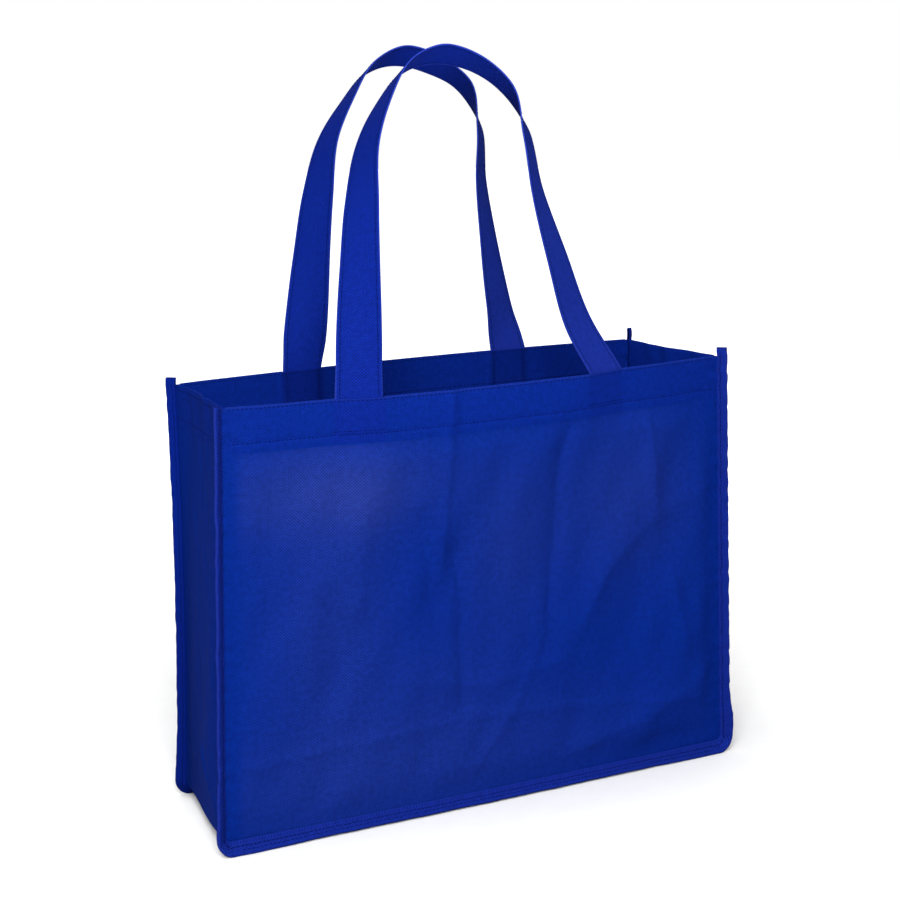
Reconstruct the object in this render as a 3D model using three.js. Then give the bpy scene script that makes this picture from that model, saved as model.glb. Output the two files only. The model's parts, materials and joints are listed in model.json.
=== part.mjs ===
// Non-woven shopping bag: a boxy tote sewn from spunbond cloth.
// Millimetres, +Z up, the bag's front faces -Y. It stands on its bottom seam fins.
// The outline is laid out as a true box first, with every layer at its own offset from the
// seam. One smooth function, settle(), then gives the whole bag its soft, stood-up shape.
import * as THREE from 'three';

// Body, measured between the seam lines
const WIDTH = 400;
const DEPTH = 115;
const HEIGHT = 309;
const CORNER_RADIUS = 4;

// Cloth and sewing
const CLOTH = 0.45;
const PLY_GAP = 0.3;
const HEM_DEPTH = 32;
const SIDE_FIN = 8.5;
const BOTTOM_FIN = 10;
const EAR_HEIGHT = { frontLeft: 1.5, frontRight: 6, backLeft: 4.5, backRight: 8 };

// Handles
const STRAP_WIDTH = 32;
const STRAP_OVERLAP = 30;

// How the cloth hangs once the bag stands open
const FRONT_BOW = 9;
const BACK_BOW = 4;
const HANDLE_PULL = 7;
const SIDE_HOLLOW = 3;
const TOP_SAG = 1.5;
const BACK_RISE = 1.5;
const END_RISE = 1.8;
const BASE_FLAT = { x: 150, y: 26 };
const FRONT_TOP_TAPER = 1.6;
const BACK_TOP_TAPER = 8;
const BACK_FOOT_TAPER = 1.5;
const BACK_EDGE_HOLLOW = 2.5;
const FRONT_FOOT_SPREAD = 8;
const FRONT_FOOT_SETBACK = 3;
const CORNER_BULGE = 1.5;
const FIN_SPREAD = 0.18;
// Soft creases of the front panel: x where each starts at the top, x where it ends, its
// upper and lower ends, how far it sinks or swells, and its half width.
const CREASES = [
  { top: -24, foot: -19, from: 262, to: 70, depth: 3.2, spread: 11 },
  { top: 64, foot: 43, from: 262, to: 95, depth: -2.4, spread: 15 },
  { top: 140, foot: 176, from: 262, to: 170, depth: 2.0, spread: 12 },
  { top: 60, foot: -12, from: 75, to: 4, depth: 2.2, spread: 9 },
  { top: -100, foot: -96, from: 262, to: 150, depth: 1.6, spread: 16 },
];

// Where each handle runs: x, y, height over the top edge, and the turn of the strap about its
// own length in degrees. At -90 and 90 its width lies along X, at 0 it lies along Y.
const FRONT_ROUTE = [
  [-103, 0, 0, -90], [-89.5, 12, 57, -93], [-78.5, 31, 110, -77], [-65, 47, 159, -57],
  [-45, 54, 200, -30], [-17, 53, 227.5, -19], [18, 42, 221.5, -11], [44, 29, 196, 22],
  [54, 25, 152, 41], [67, 20, 95, 50], [82.5, 12, 38, 64], [95, 0, 0, 74],
];
const BACK_ROUTE = [
  [-95, 0, 0, -90], [-84, 12, 50, -93], [-69, 31, 101, -77], [-52, 49, 151, -58],
  [-27.5, 58, 195, -30], [5, 60, 227.5, -20], [36.5, 51, 225.5, -18], [64, 38, 205, 6],
  [72, 29, 172.5, 36], [71, 24, 123, 42], [76, 15, 63, 56], [85, 0, 0, 74],
];

// Worked out from the sizes above
const PLY_OFFSET = (CLOTH + PLY_GAP) / 2;
const TAPE_OFFSET = PLY_OFFSET * 3;
const FOLD_CENTRE = SIDE_FIN - TAPE_OFFSET - CLOTH / 2;
const BEND = CORNER_RADIUS - Math.SQRT2 * PLY_OFFSET;
const FLANGE = FOLD_CENTRE + PLY_OFFSET;
const HEM_END = 4 * PLY_OFFSET;
const TAPE_START = 0.6;
const FIN_DROP = (FOLD_CENTRE + BOTTOM_FIN - SIDE_FIN) / Math.SQRT2 + TAPE_OFFSET + CLOTH / 2;
const BASE_LIFT = FIN_DROP * (1 + FIN_SPREAD);
const INNER = { x: WIDTH / 2 - CORNER_RADIUS, y: DEPTH / 2 - CORNER_RADIUS, z: CORNER_RADIUS };
const HEM_TURN = HEIGHT - PLY_OFFSET - CLOTH / 2;
const STRAP_PLANE = 5 * PLY_OFFSET;

const SIDE_CELLS = 4;
const MIDDLE_CELLS = { front: 14, back: 8 };
const UP_CELLS = 7;
const STRAP_CELLS = 40;

const blue = (name, color) => new THREE.MeshStandardMaterial({ name, color, roughness: 0.8, metalness: 0 });
const SKIN = blue('body_cloth', 0x1e2a9b);
const TAPE = blue('binding_tape', 0x1b2690);
const WEBBING = blue('strap_cloth', 0x222fa5);

const clamp = THREE.MathUtils.clamp;
const smooth = THREE.MathUtils.smoothstep;
const evenly = (from, to, cells) => Array.from({ length: cells + 1 }, (_, i) => from + ((to - from) * i) / cells);

// Lines that the layers sewn together share, so that they bend alike: rings round the seam,
// the edges and middle of each sewn strap end, and even steps between them
const ringSteps = [0, BEND * 0.6, BEND, BEND + FLANGE];
const RINGS = ringSteps.length - 1;
const hemLines = [HEIGHT - HEM_DEPTH, HEIGHT - HEM_DEPTH / 2, HEM_TURN];
const upLines = [
  ...ringSteps.slice(1).reverse().map((r) => INNER.z - r),
  ...evenly(INNER.z, hemLines[0], UP_CELLS),
  ...hemLines.slice(1),
];
function acrossLines(route, middleCells) {
  const [left, right] = [route[0][0], route.at(-1)[0]];
  const reach = STRAP_WIDTH / 2;
  return [
    ...ringSteps.slice(1).reverse().map((r) => -INNER.x - r),
    ...evenly(-INNER.x, left - reach, SIDE_CELLS), left,
    ...evenly(left + reach, right - reach, middleCells), right,
    ...evenly(right + reach, INNER.x, SIDE_CELLS),
    ...ringSteps.slice(1).map((r) => INNER.x + r),
  ];
}
const frontLines = acrossLines(FRONT_ROUTE, MIDDLE_CELLS.front);
const backLines = acrossLines(BACK_ROUTE, MIDDLE_CELLS.back);

// How much wider the seam fin is where the seam runs under the bag
const deeper = (out) => (BOTTOM_FIN - SIDE_FIN) * out.z * out.z;

// How far one crease moves a point of the front panel inward
function crease({ top, foot, from, to, depth, spread }, x, z) {
  const t = clamp((from - z) / (from - to), 0, 1);
  const side = (x - (top + (foot - top) * t)) / spread;
  const along = smooth(z, to, to + 40) * (1 - smooth(z, from - 12, from + 12));
  return depth * Math.exp(-side * side) * along;
}

// 0 before a sewn strap end, 1 past it, and straight across it, because the strap stiffens it
const ramp = (x, strapX) => clamp((x - strapX) / STRAP_WIDTH + 0.5, 0, 1);

// Moves a point of the true box to where the stood-up cloth has it
function settle(p) {
  const half = WIDTH / 2;
  const high = clamp(p.z / HEIGHT, 0, 1.1);
  const belly = Math.max(0, 1 - (p.x / half) ** 2);
  const front = smooth(-p.y, 0, DEPTH / 2 - 8);
  const back = smooth(p.y, 0, DEPTH / 2 - 8);
  const rise = smooth(p.z, 0, HEIGHT * 0.8);
  const between = ramp(p.x, FRONT_ROUTE[0][0]) * (1 - ramp(p.x, FRONT_ROUTE.at(-1)[0]));
  const rim = smooth(p.z, HEIGHT * 0.55, HEIGHT);
  let y = p.y;
  y -= front * (FRONT_BOW * belly * rise + HANDLE_PULL * between * rim);
  y += back * BACK_BOW * belly * rise;
  for (const fold of CREASES) y += front * crease(fold, p.x, p.z);
  const wall = smooth(Math.abs(p.x), half - 30, half) * (1 - (p.y / (DEPTH / 2)) ** 2);
  let x = p.x - Math.sign(p.x) * SIDE_HOLLOW * Math.max(0, wall) * smooth(p.z, 0, HEIGHT * 0.5);
  const taper = THREE.MathUtils.lerp(BACK_FOOT_TAPER, BACK_TOP_TAPER, high)
    + BACK_EDGE_HOLLOW * 4 * high * Math.max(0, 1 - high);
  const toBack = smooth(p.y, -DEPTH / 2, DEPTH / 2);
  x -= (p.x / half) * (taper * toBack + FRONT_TOP_TAPER * high * (1 - toBack));
  const foot = (1 - high) * (1 - toBack);
  x += (p.x / half) * FRONT_FOOT_SPREAD * foot;
  y += FRONT_FOOT_SETBACK * foot * (1 - belly);
  let z = p.z + belly * rim * (BACK_RISE * back - TOP_SAG * front) + END_RISE * high * (p.x / half);
  // Under the bag's weight the side pushes out at its foot, and the fins spread at the corners
  const low = (1 - smooth(p.z, 0, 30)) * smooth(Math.abs(p.x), half - 14, half);
  const bulge = CORNER_BULGE * Math.max(0, 1 - (p.y / (DEPTH / 2)) ** 2) * low * Math.SQRT1_2;
  const spread = FIN_SPREAD * smooth(Math.abs(p.x), half * 0.55, half) * (1 - smooth(p.z, 0, 45));
  x += Math.sign(p.x) * (bulge + spread * Math.max(Math.abs(p.x) - half, 0));
  y += Math.sign(p.y) * spread * Math.max(Math.abs(p.y) - DEPTH / 2, 0);
  z -= bulge + spread * Math.max(-p.z, 0);
  return new THREE.Vector3(x, y, z);
}

// A closed sheet of the given thickness over a grid of middle points. keep(i, j) says which
// cells of the grid are cloth.
function sheet(points, thickness, keep = () => true) {
  const rows = points.length;
  const columns = points[0].length;
  const id = (i, j) => i * columns + j;
  const normals = points.map((row) => row.map(() => new THREE.Vector3()));
  const cells = [];
  for (let i = 0; i + 1 < rows; i++) {
    for (let j = 0; j + 1 < columns; j++) {
      if (!keep(i, j)) continue;
      cells.push([i, j]);
      const [a, b, c, d] = [points[i][j], points[i + 1][j], points[i + 1][j + 1], points[i][j + 1]];
      const n = new THREE.Vector3().crossVectors(c.clone().sub(a), d.clone().sub(b)).normalize();
      for (const [k, l] of [[i, j], [i + 1, j], [i + 1, j + 1], [i, j + 1]]) normals[k][l].add(n);
    }
  }
  const position = [];
  for (const side of [0.5, -0.5]) {
    for (let i = 0; i < rows; i++) {
      for (let j = 0; j < columns; j++) {
        const n = normals[i][j].clone().normalize().multiplyScalar(side * thickness);
        position.push(...points[i][j].clone().add(n).toArray());
      }
    }
  }
  const below = rows * columns;
  const index = [];
  const edges = new Map();
  for (const [i, j] of cells) {
    const loop = [id(i, j), id(i + 1, j), id(i + 1, j + 1), id(i, j + 1)];
    index.push(loop[0], loop[1], loop[2], loop[0], loop[2], loop[3]);
    index.push(below + loop[0], below + loop[2], below + loop[1]);
    index.push(below + loop[0], below + loop[3], below + loop[2]);
    loop.forEach((from, k) => {
      const to = loop[(k + 1) % 4];
      if (!edges.delete(`${to}_${from}`)) edges.set(`${from}_${to}`, [from, to]);
    });
  }
  for (const [from, to] of edges.values()) {
    index.push(from, below + from, below + to, from, below + to, to);
  }
  return pruned(position, index);
}

// Drops the grid points that no cell uses
function pruned(position, index) {
  const used = new Map();
  const kept = [];
  const renamed = index.map((v) => {
    if (!used.has(v)) {
      used.set(v, used.size);
      kept.push(...position.slice(v * 3, v * 3 + 3));
    }
    return used.get(v);
  });
  const geometry = new THREE.BufferGeometry();
  geometry.setAttribute('position', new THREE.Float32BufferAttribute(kept, 3));
  geometry.setIndex(renamed);
  return geometry;
}

// Half-circle of a folded edge, in steps, from one layer to the next
const foldAngles = (steps) => evenly(0, Math.PI, steps).slice(1, -1);

// The outward direction in the panel's plane and the distance past the inner rectangle. Rings
// of cells round the bottom corners turn evenly through the quarter circle.
function ringPoint(a, b) {
  const ea = Math.max(Math.abs(a) - INNER.x, 0);
  const eb = Math.max(INNER.z - b, 0);
  const far = Math.max(ea, eb);
  let angle = eb > 0 && ea === 0 ? Math.PI / 2 : 0;
  if (ea > 0 && eb > 0) {
    const ring = (e) => ringSteps.reduce((best, r, k) => (Math.abs(r - e) < 1e-6 ? k : best), 0);
    const [i, j] = [ring(ea), ring(eb)];
    const last = Math.max(i, j);
    angle = ((i === last ? j : 2 * last - i) / (2 * last)) * (Math.PI / 2);
  }
  const out = { x: Math.cos(angle) * Math.sign(a || 1), z: -Math.sin(angle) };
  const base = { x: clamp(a, -INNER.x, INNER.x), z: Math.max(b, INNER.z) };
  return { base, out, far };
}

// A point of a panel's middle surface. facing is -1 for the front panel and 1 for the back.
function panelPoint(a, b, facing) {
  const { base, out, far } = ringPoint(a, b);
  const flat = Math.min(far, BEND);
  const lap = far > BEND ? (FLANGE + deeper(out)) / Math.SQRT2 : 0;
  const y = facing * (DEPTH / 2 + lap);
  return new THREE.Vector3(base.x + out.x * (flat + lap), y, base.z + out.z * (flat + lap));
}

// Front or back panel: one sheet with a seam lap on three sides, its top turned in as a hem
function panel(facing, lines) {
  const hem = [
    ...foldAngles(4).map((t) => [HEM_TURN + PLY_OFFSET * Math.sin(t), PLY_OFFSET * (1 - Math.cos(t))]),
    ...hemLines.slice().reverse().map((z) => [z, 2 * PLY_OFFSET]),
  ];
  const rows = upLines.map((b) => lines.map((a) => panelPoint(a, b, facing)));
  for (const [z, inward] of hem) {
    rows.push(lines.map((a) => {
      const x = clamp(a, -WIDTH / 2 + HEM_END, WIDTH / 2 - HEM_END);
      return new THREE.Vector3(x, facing * (DEPTH / 2 - inward), z);
    }));
  }
  // The hem stops short of the seams, so its end columns carry no cloth
  const hemmed = (j) => j >= RINGS - 1 && j < lines.length - RINGS;
  const keep = (i, j) => i < upLines.length - 1 || hemmed(j);
  const settled = rows.map((row) => (facing < 0 ? row : row.slice().reverse()).map(settle));
  return sheet(settled, CLOTH, keep);
}

// Stations along a seam, from the top of the left side, under the bag, to the top of the
// right side. Each has the seam's place and the outward direction there.
function seamStations(lines, leftTop = HEM_TURN, rightTop = HEM_TURN) {
  const heights = upLines.slice(RINGS + 1);
  const side = (sign, top) => [...heights, ...(top > HEM_TURN ? [top] : [])].map((z) => ({
    x: sign * (WIDTH / 2), z, out: { x: sign, z: 0 },
  }));
  const corner = (sign) => evenly(0, Math.PI / 2, 2 * RINGS).map((t) => ({
    x: sign * (INNER.x + CORNER_RADIUS * Math.cos(t)),
    z: INNER.z - CORNER_RADIUS * Math.sin(t),
    out: { x: sign * Math.cos(t), z: -Math.sin(t) },
  }));
  const bottom = lines.slice(RINGS + 1, -RINGS - 1).map((x) => ({ x, z: 0, out: { x: 0, z: -1 } }));
  return [
    ...side(-1, leftTop).reverse(), ...corner(-1), ...bottom,
    ...corner(1).reverse(), ...side(1, rightTop),
  ];
}

// Side walls and bottom: one long strip, its edges turned out as seam laps, its ends hemmed
function gusset() {
  const depthLines = [
    -DEPTH / 2 - FLANGE, -DEPTH / 2 + Math.SQRT2 * PLY_OFFSET, -DEPTH / 2 + HEM_END,
    ...evenly(-BASE_FLAT.y - 14, BASE_FLAT.y + 14, 5),
    DEPTH / 2 - HEM_END, DEPTH / 2 - Math.SQRT2 * PLY_OFFSET, DEPTH / 2 + FLANGE,
  ];
  const stations = seamStations(backLines);
  const bendAt = DEPTH / 2 - Math.SQRT2 * PLY_OFFSET;
  const strip = stations.map(({ x, z, out }) => depthLines.map((q) => {
    const lap = Math.max(Math.abs(q) - bendAt, 0);
    const edge = lap > 0 ? (FLANGE + deeper(out)) / Math.SQRT2 : 0;
    const y = Math.sign(q) * (Math.min(Math.abs(q), bendAt) + edge);
    return settleBase(new THREE.Vector3(x + out.x * edge, y, z + out.z * edge), out);
  }));
  const hemRow = (sign) => (height, inward) => depthLines.map((q) => {
    const y = clamp(q, -DEPTH / 2 + HEM_END, DEPTH / 2 - HEM_END);
    return settle(new THREE.Vector3(sign * (WIDTH / 2 - inward), y, height));
  });
  const hem = (sign) => {
    const row = hemRow(sign);
    return [
      ...foldAngles(4).map((t) => row(HEM_TURN + PLY_OFFSET * Math.sin(t), PLY_OFFSET * (1 - Math.cos(t)))),
      ...hemLines.slice().reverse().map((z) => row(z, 2 * PLY_OFFSET)),
    ];
  };
  const left = hem(-1).reverse();
  const rows = [...left, ...strip, ...hem(1)];
  const first = left.length;
  const last = first + strip.length - 1;
  const hemmed = (j) => j >= 2 && j < depthLines.length - 3;
  return sheet(rows, CLOTH, (i, j) => (i >= first && i < last) || hemmed(j));
}

// The bottom hangs between its two seams and lies flat on the table in the middle
function settleBase(p, out) {
  const down = clamp(-out.z, 0, 1);
  const reach = (v, flat, end) => 1 - smooth(Math.abs(v), flat, end);
  const hang = reach(p.x, BASE_FLAT.x, INNER.x) * reach(p.y, BASE_FLAT.y, DEPTH / 2 - HEM_END);
  const q = settle(p);
  q.z -= down * hang * (BASE_LIFT - CLOTH / 2);
  return q;
}

// Binding tape, folded over the raw edges of one seam all the way round
function binding(facing, lines, leftEar, rightEar) {
  const profile = [
    [TAPE_START, -TAPE_OFFSET], [FOLD_CENTRE, -TAPE_OFFSET],
    ...foldAngles(4).map((t) => [FOLD_CENTRE + TAPE_OFFSET * Math.sin(t), -TAPE_OFFSET * Math.cos(t)]),
    [FOLD_CENTRE, TAPE_OFFSET], [TAPE_START, TAPE_OFFSET],
  ];
  const stations = seamStations(lines, HEIGHT + leftEar, HEIGHT + rightEar);
  const rows = stations.map(({ x, z, out }) => profile.map(([along, aside]) => {
    const reach = along > TAPE_START ? along + deeper(out) : along;
    const outward = (reach + aside) / Math.SQRT2;
    const forward = (reach - aside) / Math.SQRT2;
    const p = new THREE.Vector3(x + out.x * outward, facing * (DEPTH / 2 + forward), z + out.z * outward);
    return settle(p);
  }));
  return sheet(facing < 0 ? rows : rows.reverse(), CLOTH);
}

// Section of a strap: a wide strip folded in half, its two cut edges lying together
function strapSection() {
  const half = STRAP_WIDTH / 2;
  const fold = -half + PLY_OFFSET + CLOTH / 2;
  const turn = foldAngles(3).map((t) => [fold - PLY_OFFSET * Math.sin(t), -PLY_OFFSET * Math.cos(t)]);
  return [
    [half, -PLY_OFFSET], [0, -PLY_OFFSET], [fold, -PLY_OFFSET],
    ...turn,
    [fold, PLY_OFFSET], [0, PLY_OFFSET], [half, PLY_OFFSET],
  ];
}

// Sections of a handle's sewn end, flat on the inside of the hem, from its low end up
function sewnEnd(facing, x, flip) {
  const plane = facing * (DEPTH / 2 - STRAP_PLANE);
  return [HEIGHT - STRAP_OVERLAP, ...hemLines.slice(1), HEIGHT + 2].map((z) => strapSection().map(([w, h]) => (
    settle(new THREE.Vector3(x + w, plane - flip * h, z)))));
}

// Sections of the free length: up from one end, over the top and down to the other
function freeLength(facing, route) {
  const plane = facing * (DEPTH / 2 - STRAP_PLANE);
  const stops = route.map(([x, lean, z]) => {
    const stop = new THREE.Vector3(x, plane + lean, HEIGHT + z);
    return z > 0 ? stop : settle(stop);
  });
  const turns = route.map(([, , , degrees]) => THREE.MathUtils.degToRad(degrees));
  const curve = new THREE.CatmullRomCurve3(stops, false, 'centripetal');
  const section = strapSection();
  return evenly(0, 1, STRAP_CELLS).slice(1, -1).map((t) => {
    const centre = curve.getPoint(t);
    const along = curve.getTangent(t);
    const k = Math.min(Math.floor(t * (turns.length - 1)), turns.length - 2);
    const turn = THREE.MathUtils.lerp(turns[k], turns[k + 1], t * (turns.length - 1) - k);
    const level = new THREE.Vector3(0, 1, 0).addScaledVector(along, -along.y).normalize();
    const upright = new THREE.Vector3().crossVectors(along, level);
    const across = level.multiplyScalar(Math.cos(turn)).addScaledVector(upright, Math.sin(turn));
    const face = new THREE.Vector3().crossVectors(along, across);
    return section.map(([w, h]) => centre.clone().addScaledVector(across, w).addScaledVector(face, -h));
  });
}

// One handle, from its sewn left end to its sewn right end
function handle(facing, route) {
  const rows = [
    ...sewnEnd(facing, route[0][0], 1),
    ...freeLength(facing, route),
    ...sewnEnd(facing, route.at(-1)[0], -1).reverse(),
  ];
  return sheet(rows, CLOTH);
}

const group = new THREE.Group();
function add(name, geometry, material) {
  const mesh = new THREE.Mesh(geometry, material);
  mesh.name = name;
  group.add(mesh);
}

add('front_panel', panel(-1, frontLines), SKIN);
add('back_panel', panel(1, backLines), SKIN);
add('gusset', gusset(), SKIN);
add('front_binding', binding(-1, frontLines, EAR_HEIGHT.frontLeft, EAR_HEIGHT.frontRight), TAPE);
add('back_binding', binding(1, backLines, EAR_HEIGHT.backLeft, EAR_HEIGHT.backRight), TAPE);
add('front_handle', handle(-1, FRONT_ROUTE), WEBBING);
add('back_handle', handle(1, BACK_ROUTE), WEBBING);

// The origin is under the middle of the whole part, on the table
const bounds = new THREE.Box3().setFromObject(group, true);
const middle = bounds.getCenter(new THREE.Vector3());
for (const mesh of group.children) mesh.geometry.translate(-middle.x, -middle.y, -bounds.min.z);

export default group;
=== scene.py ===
# %% [markdown]
# # A non-woven shopping bag
#
# The bag is sewn from spunbond cloth: a front and a back panel, one long strip that makes
# both sides and the bottom, narrow tape folded over the seams, and two strap handles.
# Every layer is laid out on a true box first. One smooth function then gives them all the
# same soft, stood-up shape, so layers that are sewn together stay together.

import bpy
import json
import math
import numpy as np
from mathutils import Matrix, Vector

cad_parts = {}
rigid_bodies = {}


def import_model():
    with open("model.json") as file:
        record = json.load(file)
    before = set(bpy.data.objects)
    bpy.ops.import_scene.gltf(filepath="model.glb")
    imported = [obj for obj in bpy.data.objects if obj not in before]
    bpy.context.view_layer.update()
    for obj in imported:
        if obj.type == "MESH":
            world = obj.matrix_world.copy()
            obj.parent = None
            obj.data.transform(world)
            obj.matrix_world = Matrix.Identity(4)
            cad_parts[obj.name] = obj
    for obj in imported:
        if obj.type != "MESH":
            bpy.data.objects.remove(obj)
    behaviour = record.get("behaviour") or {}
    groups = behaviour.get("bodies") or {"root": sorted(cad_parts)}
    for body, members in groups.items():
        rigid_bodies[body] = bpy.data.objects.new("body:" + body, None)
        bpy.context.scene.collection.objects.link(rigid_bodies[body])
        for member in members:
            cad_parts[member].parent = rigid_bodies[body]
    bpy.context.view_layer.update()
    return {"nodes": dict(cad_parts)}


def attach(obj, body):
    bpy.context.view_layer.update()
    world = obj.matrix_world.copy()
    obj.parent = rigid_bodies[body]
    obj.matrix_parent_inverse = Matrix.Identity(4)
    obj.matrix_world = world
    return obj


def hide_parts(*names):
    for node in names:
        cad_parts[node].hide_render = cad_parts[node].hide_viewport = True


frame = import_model()
scene = bpy.context.scene
print("frame:", sorted(frame["nodes"]))

# %% [markdown]
# ## The camera
#
# It stands a little to the left of the bag's front and looks slightly down. A long lens
# keeps the upright seams nearly parallel, as in a product photograph.

# %%
CAMERA_PLACE = (-0.5712, -1.1844, 0.5152)
CAMERA_TURN = -26.28
CAMERA_DIP = 11.33
CAMERA_ROLL = -1.02
CAMERA_LENS = 70.33


def make_camera():
    data = bpy.data.cameras.new("view")
    data.lens = CAMERA_LENS
    data.sensor_width = 36
    camera = bpy.data.objects.new("view", data)
    turn, dip = math.radians(CAMERA_TURN), math.radians(CAMERA_DIP)
    ahead = Vector((-math.sin(turn) * math.cos(dip), math.cos(turn) * math.cos(dip), -math.sin(dip)))
    level = ahead.to_track_quat("-Z", "Y").to_matrix().to_4x4()
    roll = Matrix.Rotation(math.radians(CAMERA_ROLL), 4, "Z")
    camera.matrix_world = Matrix.Translation(CAMERA_PLACE) @ level @ roll
    scene.collection.objects.link(camera)
    scene.camera = camera
    return camera


view = make_camera()
print("camera at", [round(c, 3) for c in view.matrix_world.translation])

# %% [markdown]
# ## Sizes
#
# Millimetres, as a pattern cutter would write them. The body is measured between its seam
# lines. The seams stick out as fins, because the cloth is sewn from the outside.

# %%
WIDTH, DEPTH, HEIGHT = 400.0, 115.0, 309.0
CORNER_RADIUS = 4.0
CLOTH = 0.45
PLY_GAP = 0.3
HEM_DEPTH = 32.0
SIDE_FIN, BOTTOM_FIN = 8.5, 10.0
EARS = {-1: (1.5, 6.0), 1: (4.5, 8.0)}
STRAP_WIDTH = 32.0
STRAP_OVERLAP = 30.0

print("body:", WIDTH, "x", DEPTH, "x", HEIGHT, "mm between its seam lines")

# %% [markdown]
# Where several layers lie on each other, each has its own distance from the seam's middle.
# These distances follow from the sizes above, so that no layer runs into its neighbour.
#
# - PLY_OFFSET: from the middle between two plies to the middle of either.
# - BEND, FLANGE: where a panel starts to turn into the seam, and how far it then reaches.
# - STRAP_PLANE, STRAP_ROOM: how deep a strap's sewn end lies inside the hem, and how much
#   room it needs under the hem's inner layer.

# %%
PLY_OFFSET = (CLOTH + PLY_GAP) / 2
TAPE_OFFSET = 3 * PLY_OFFSET
FOLD_CENTRE = SIDE_FIN - TAPE_OFFSET - CLOTH / 2
BEND = CORNER_RADIUS - math.sqrt(2) * PLY_OFFSET
FLANGE = FOLD_CENTRE + PLY_OFFSET
HEM_END = 4 * PLY_OFFSET
HEM_FOOT = HEIGHT - HEM_DEPTH
HEM_TURN = HEIGHT - PLY_OFFSET - CLOTH / 2
TAPE_START = 0.6
FIN_SPREAD = 0.18
FIN_DROP = (FOLD_CENTRE + BOTTOM_FIN - SIDE_FIN) / math.sqrt(2) + TAPE_OFFSET + CLOTH / 2
BASE_LIFT = FIN_DROP * (1 + FIN_SPREAD)
INNER_X, INNER_Z = WIDTH / 2 - CORNER_RADIUS, CORNER_RADIUS
STRAP_PLANE = CLOTH / 2 + PLY_GAP / 2 + PLY_OFFSET + CLOTH / 2
STRAP_ROOM = 2 * STRAP_PLANE - 2 * PLY_OFFSET

# Rows of stitches: on the fins from the seam line outward, on the hems from the top down
FIRST_ROW, SECOND_ROW = 3.0, 5.6
HEM_ROW, TOP_ROW, STRAP_END_ROW, SIDE_TOP_ROW = 25.5, 2.0, 23.2, 4.5

# The box's own origin lies under its middle, at the height of the bottom seams. The part's
# origin is on the table, under the middle of everything.
TO_PART = np.array([0.0, -28.8, BASE_LIFT])
print("the bottom seams are", round(BASE_LIFT, 2), "mm above the table")

# %% [markdown]
# ## How the cloth stands
#
# The front bows out between the handles, the back less. The sides sink in at the top and
# bulge a little below. These are the sizes of that soft shape, in millimetres.

# %%
FRONT_BOW, BACK_BOW, HANDLE_PULL = 9.0, 4.0, 7.0
SIDE_HOLLOW, SIDE_BULGE = 3.0, 3.0
TOP_SAG, BACK_RISE, END_RISE = 1.5, 1.5, 1.8
BACK_EDGE_HOLLOW, CORNER_BULGE = 2.5, 1.5
BASE_FLAT = (150.0, 26.0)
FRONT_TOP_TAPER, BACK_TOP_TAPER, BACK_FOOT_TAPER = 1.6, 8.0, 1.5
FRONT_FOOT_SPREAD, FRONT_FOOT_SETBACK = 8.0, 3.0
STRAP_X = {-1: (-103.0, 95.0), 1: (-97.0, 85.0)}

print("the front bows out by", FRONT_BOW, "mm, the back by", BACK_BOW, "mm")

# %% [markdown]
# ## The folds of the front
#
# Soft creases run down the front from the hem, and one crosses it low down: they are left
# from the time the bag lay folded. Each fold is written as the line it follows, how far its
# middle moves out (minus is inward), and how wide it is before and after the line. Upright
# lines are (z, x) points, level ones (x, z).

# %%
UPRIGHT_FOLDS = [
    ([(165, -43), (233, -39), (270, -36), (312, -34)], 3.0, 14, 5),
    ([(60, -22), (110, -24), (163, -26), (195, -31)], -3.4, 8, 13),
    ([(10, -18), (26, -8), (64, 20), (110, 38), (150, 44)], 2.8, 22, 11),
    ([(130, 46), (190, 53), (223, 53), (250, 56), (272, 62)], -4.0, 14, 8),
    ([(195, 139), (220, 136), (253, 134), (272, 132)], 3.0, 12, 8),
    ([(85, 166), (105, 160), (147, 153)], 3.6, 14, 10),
    ([(90, -116), (125, -115), (148, -119), (170, -133)], -3.0, 24, 9),
    ([(118, -38), (161, -48), (220, -57)], -2.6, 20, 8),
    ([(150, -104), (210, -100), (270, -100)], 2.2, 16, 16),
]
LEVEL_FOLDS = [
    ([(-185, 52), (-136, 55), (-78, 58), (-7, 61), (54, 55), (134, 47), (185, 44)], 1.1, 7, 5),
    ([(70, 112), (95, 160), (133, 190), (172, 204), (192, 210)], 3.0, 26, 34),
    ([(60, 14), (100, 26), (135, 38), (165, 50), (192, 66)], 2.6, 24, 18),
    ([(-60, 96), (-10, 84), (60, 92)], 1.4, 14, 12),
]
FADE_IN, FADE_OUT = 14.0, 12.0


def smooth(v, low, high):
    t = np.clip((v - low) / (high - low), 0, 1)
    return t * t * (3 - 2 * t)


def fold_height(across, along, line, out, before, after):
    """A rounded crest along a line, with its own width on either side, fading at its ends."""
    place, middle = np.array(line, dtype=float).T
    side = across - np.interp(along, place, middle)
    width = np.where(side < 0, before, after)
    crest = np.exp(-(np.sqrt(side * side + 2.0) - math.sqrt(2.0)) / (0.6 * width))
    start = smooth(along, place[0] - FADE_IN, place[0] + FADE_IN)
    fade = start * (1 - smooth(along, place[-1] - FADE_OUT, place[-1] + FADE_OUT))
    return out * crest * fade


print("folds of the front:", len(UPRIGHT_FOLDS), "upright,", len(LEVEL_FOLDS), "level")

# %% [markdown]
# Small ripples are sums of a few waves of different length and direction. The list of waves
# comes from a seeded generator, so the cloth is the same each time.

# %%
def waves(seed, count, longest, shortest, lean):
    rng = np.random.RandomState(seed)
    length = np.geomspace(longest, shortest, count) * rng.uniform(0.85, 1.15, count)
    tilt = rng.uniform(-lean, lean, count)
    phase = rng.uniform(0, 2 * np.pi, count)
    return [(2 * np.pi / l * math.cos(a), 2 * np.pi / l * math.sin(a), p, l / longest)
            for l, a, p in zip(length, tilt, phase)]


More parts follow.
